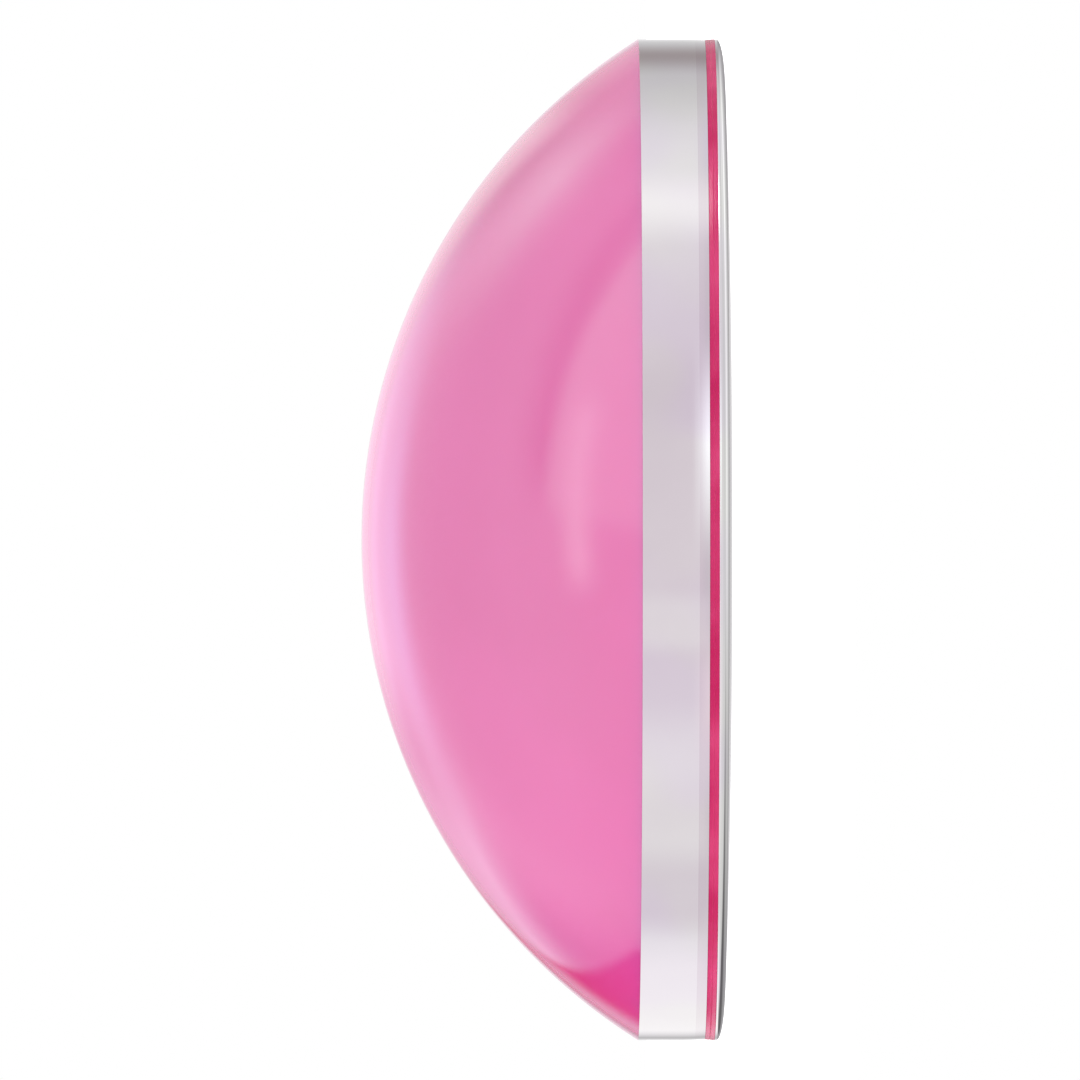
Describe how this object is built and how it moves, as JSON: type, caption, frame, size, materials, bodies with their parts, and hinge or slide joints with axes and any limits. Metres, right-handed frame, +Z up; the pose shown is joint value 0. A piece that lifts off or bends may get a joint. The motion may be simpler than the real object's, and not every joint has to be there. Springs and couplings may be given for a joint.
{
  "type": "silicone cupping cup with storage cover",
  "caption": "Shallow hand-squeezed suction cup: a pink silicone dome on a silvered collar with a soft magenta lip, closed by a pull-off polished metal cover.",
  "frame": {"origin": "middle of the cover's flat foot, on the surface that the closed cup rests on", "axes": "+Z up through the middle of the dome; the object is round about Z, so X and Y are any two directions across it"},
  "size_m": [0.07, 0.07, 0.0258],
  "materials": {
    "suction_dome": "gloss",
    "collar_shell": "polished",
    "collar_sleeve": "satin",
    "clamp_ring": "satin",
    "lip_seal": "satin",
    "cover_shell": "polished",
    "cover_plug": "satin",
    "cover_seal": "satin"
  },
  "bodies": {
    "cover": {"cover_shell": "cover_shell", "cover_plug": "cover_plug", "cover_seal": "cover_seal"},
    "cup": {"collar_shell": "collar_shell", "collar_sleeve": "collar_sleeve", "clamp_ring": "clamp_ring", "lip_seal": "lip_seal"},
    "dome": {"suction_dome": "suction_dome"}
  },
  "joints": [
    {"name": "cup_lift", "type": "slide", "parent": "cover", "child": "cup", "axis": [0, 0, 1], "range_m": [0, 0.02]},
    {"name": "dome_squeeze", "type": "slide", "parent": "cup", "child": "dome", "axis": [0, 0, -1], "range_m": [0, 0.006], "stiffness_N_per_m": 2500, "springref_m": -0.0005, "deforming": ["suction_dome"]}
  ]
}
